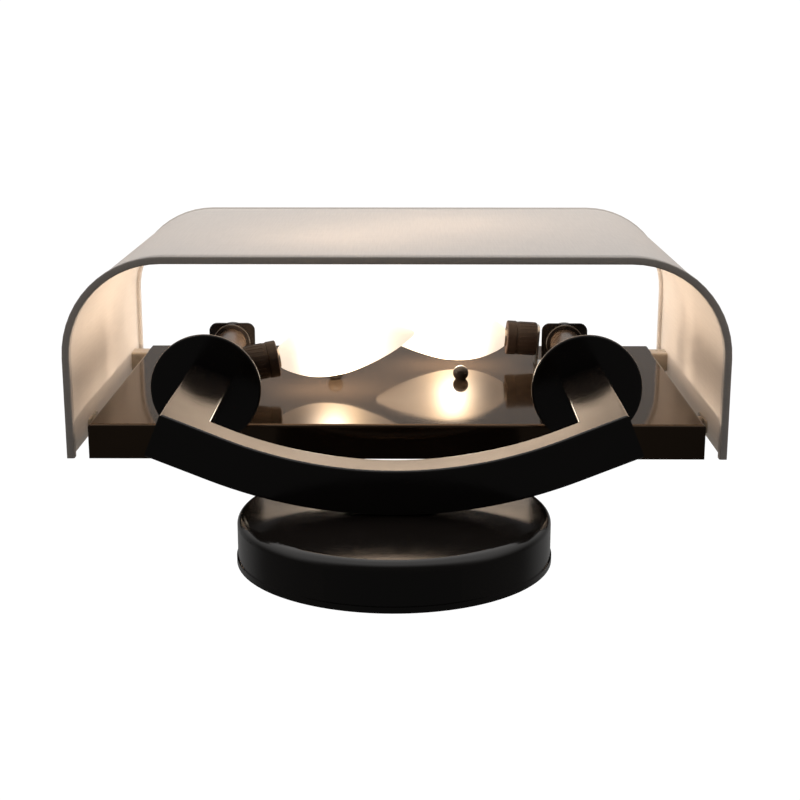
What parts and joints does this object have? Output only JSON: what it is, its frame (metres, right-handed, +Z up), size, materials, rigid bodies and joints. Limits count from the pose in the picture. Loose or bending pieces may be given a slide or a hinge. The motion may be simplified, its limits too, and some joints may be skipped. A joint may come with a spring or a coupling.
{
  "type": "two-arm wall sconce",
  "caption": "Wall sconce: round canopy, curved square bar and upright arms carry a reflector pan, staggered candle lamps and a U-shaped linen shade.",
  "frame": {"origin": "middle of the canopy's open side, on the wall plane, at the centre of the outlet box screws", "axes": "+Z up, +Y into the wall, so the front of the shade faces -Y; +X to the right of someone who faces the sconce"},
  "size_m": [0.384, 0.1355, 0.4321],
  "materials": {
    "bronze_satin": "dark bronze, satin lacquer",
    "bronze_gloss": "near-black bronze, gloss lacquer",
    "bronze_warm": "warm bronze, satin",
    "bronze_mirror": "dark bronze, polished",
    "zinc_steel": "zinc plated",
    "white_metal": "warm white lacquer",
    "dark_steel": "blackened steel",
    "green_screw": "green gloss enamel",
    "brass": "plain turned brass",
    "cap_metal": "plain, threaded",
    "phenolic": "dark brown moulded phenolic",
    "frosted_glass": "frosted, lit from inside",
    "linen": "off-white linen on a stiff backing",
    "rim_linen": "linen rolled over the wire rim"
  },
  "bodies": {
    "sconce": {"wall_bar": "zinc_steel", "ground_screw": "green_screw", "centre_nipple": "brass", "wall_bar_nut": "brass", "canopy": "bronze_satin", "canopy_nut": "brass", "bar": "bronze_satin", "left_arm": "bronze_satin", "right_arm": "bronze_satin", "left_disc": "bronze_satin", "right_disc": "bronze_satin", "left_disc_nipple": "brass", "right_disc_nipple": "brass", "left_tube": "bronze_warm", "right_tube": "bronze_warm", "left_ring_nut": "bronze_satin", "right_ring_nut": "bronze_satin", "left_lock_nut": "bronze_satin", "right_lock_nut": "bronze_satin", "left_bracket": "bronze_gloss", "right_bracket": "bronze_gloss", "bracket_screws": "dark_steel", "bracket_nuts": "zinc_steel", "pan": "bronze_mirror", "carrier_strap": "zinc_steel", "pan_studs": "zinc_steel", "stud_nuts": "zinc_steel", "left_ball_nut": "bronze_gloss", "right_ball_nut": "bronze_gloss", "left_strap": "zinc_steel", "right_strap": "zinc_steel", "strap_screws": "dark_steel", "strap_nuts": "zinc_steel", "left_lampholder": "phenolic", "right_lampholder": "phenolic", "left_screw_shell": "brass", "right_screw_shell": "brass", "left_contact": "brass", "right_contact": "brass", "shade_skin": "linen", "shade_lower_rim": "rim_linen", "shade_upper_rim": "rim_linen", "shade_posts": "white_metal", "shade_blocks": "white_metal", "shade_screws": "zinc_steel"},
    "left_bulb": {"left_bulb_cap": "cap_metal", "left_bulb_glass": "frosted_glass"},
    "right_bulb": {"right_bulb_cap": "cap_metal", "right_bulb_glass": "frosted_glass"}
  },
  "joints": [
    {"name": "left_bulb_out", "type": "slide", "parent": "sconce", "child": "left_bulb", "axis": [0.9692, -0.1478, 0.1972], "range_m": [0, 0.024]},
    {"name": "right_bulb_out", "type": "slide", "parent": "sconce", "child": "right_bulb", "axis": [-0.998, -0.061, -0.0174], "range_m": [0, 0.024]}
  ]
}
